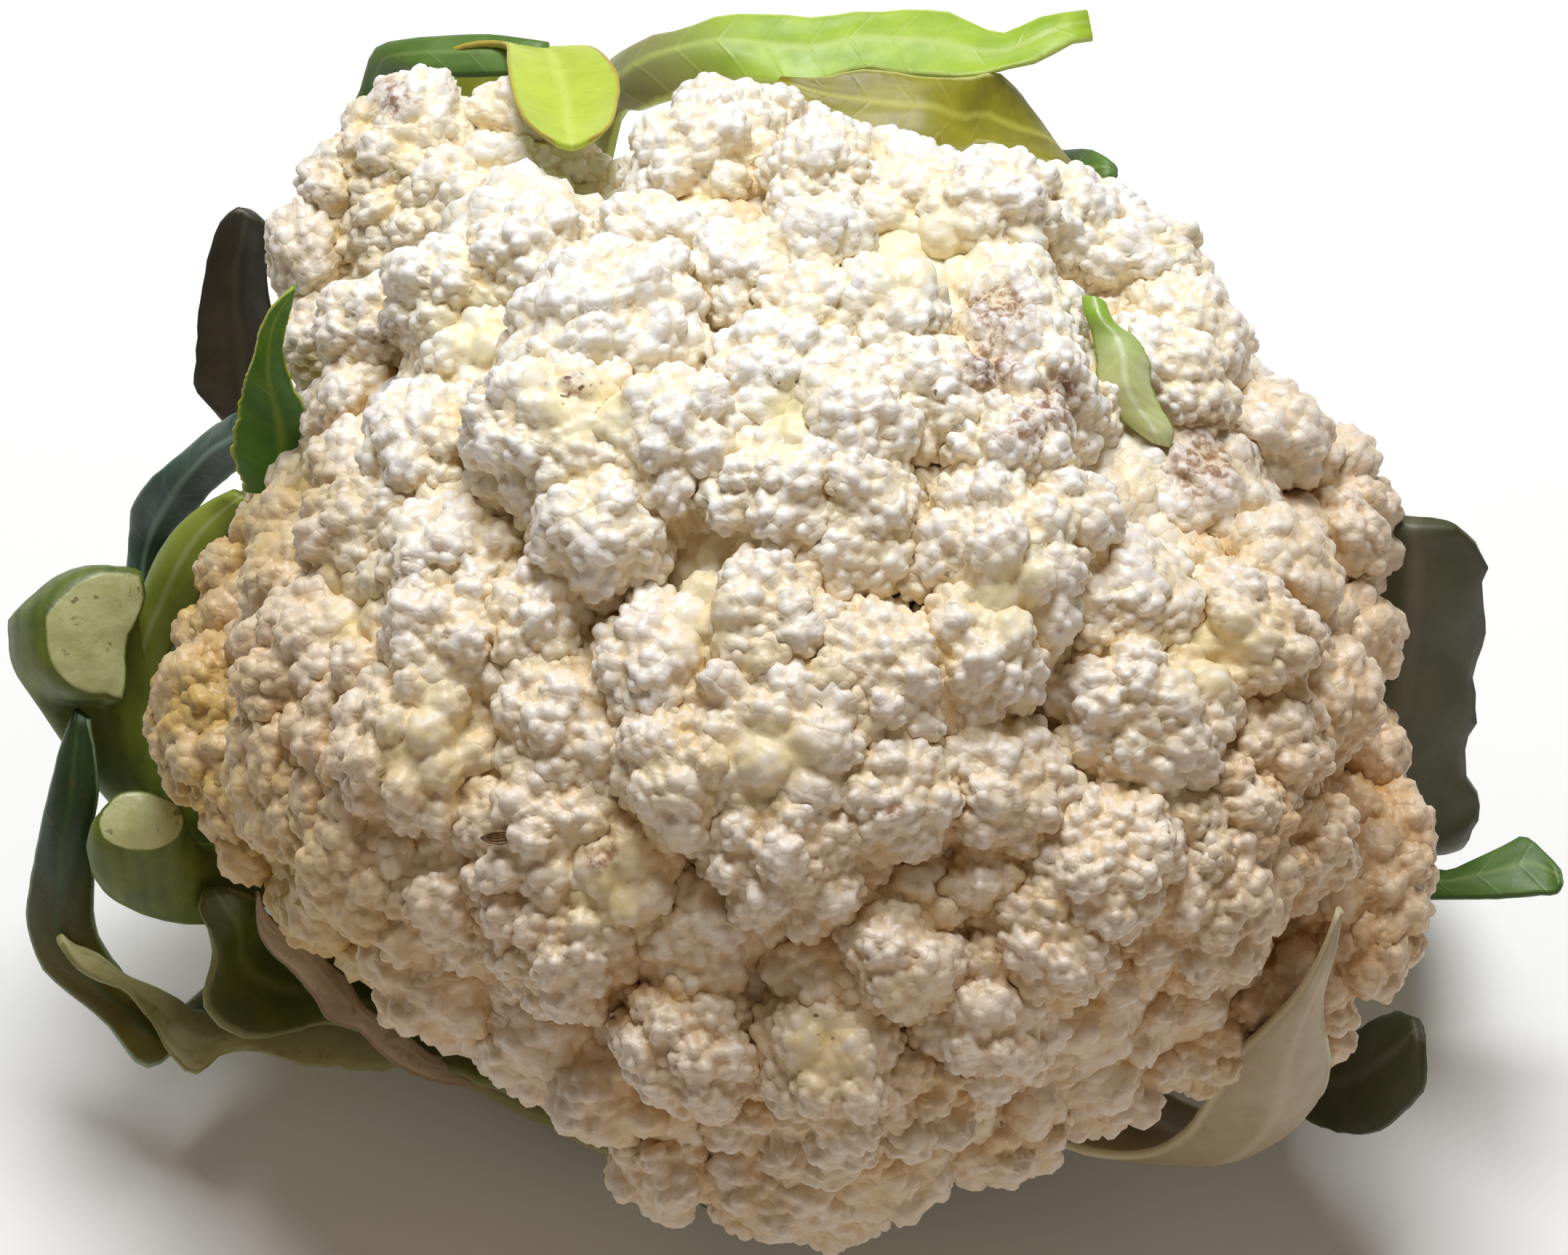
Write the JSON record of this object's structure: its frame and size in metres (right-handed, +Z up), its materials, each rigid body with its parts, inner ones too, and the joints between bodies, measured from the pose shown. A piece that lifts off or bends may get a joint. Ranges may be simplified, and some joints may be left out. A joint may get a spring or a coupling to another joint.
{
  "type": "cauliflower",
  "caption": "Whole trimmed cauliflower: a domed head of knobbly white curd standing on its cut stalk, with cut leaf stumps and torn green leaf blades round it.",
  "frame": {"origin": "centre of the stalk's cut face, on the surface the head stands on", "axes": "+Z up along the stalk, out of the top of the head; +X across the head's widest extent, towards the broad dark leaf; the side without leaf blades faces -Y"},
  "size_m": [0.2231, 0.1861, 0.147],
  "materials": {
    "curd": "soft matt, slightly translucent",
    "stalk": "smooth pale skin, dry cut face",
    "petiole": "waxy skin, matt cut face",
    "leaf_green": "waxy satin",
    "leaf_dark": "waxy satin, bluish bloom",
    "leaf_pale": "waxy satin"
  },
  "bodies": {
    "root": {"curd": "curd", "stalk": "stalk", "blade_back": "leaf_green", "blade_behind_left": "leaf_dark", "blade_far_left": "leaf_dark", "blade_far_right": "leaf_green", "blade_left_high": "leaf_green", "blade_left_low": "leaf_dark", "blade_left_torn": "leaf_green", "blade_lower_left": "leaf_green", "blade_pale": "leaf_pale", "blade_right": "leaf_dark", "blade_right_low": "leaf_dark", "blade_top": "leaf_green", "blade_top_left": "leaf_green", "blade_top_right": "leaf_green", "leaf_scrap": "leaf_pale", "sheath_left": "leaf_pale", "stump_front_left": "petiole", "stump_front_right": "petiole", "stump_left": "petiole", "stump_lower_left": "petiole", "stump_right": "petiole"}
  },
  "joints": []
}
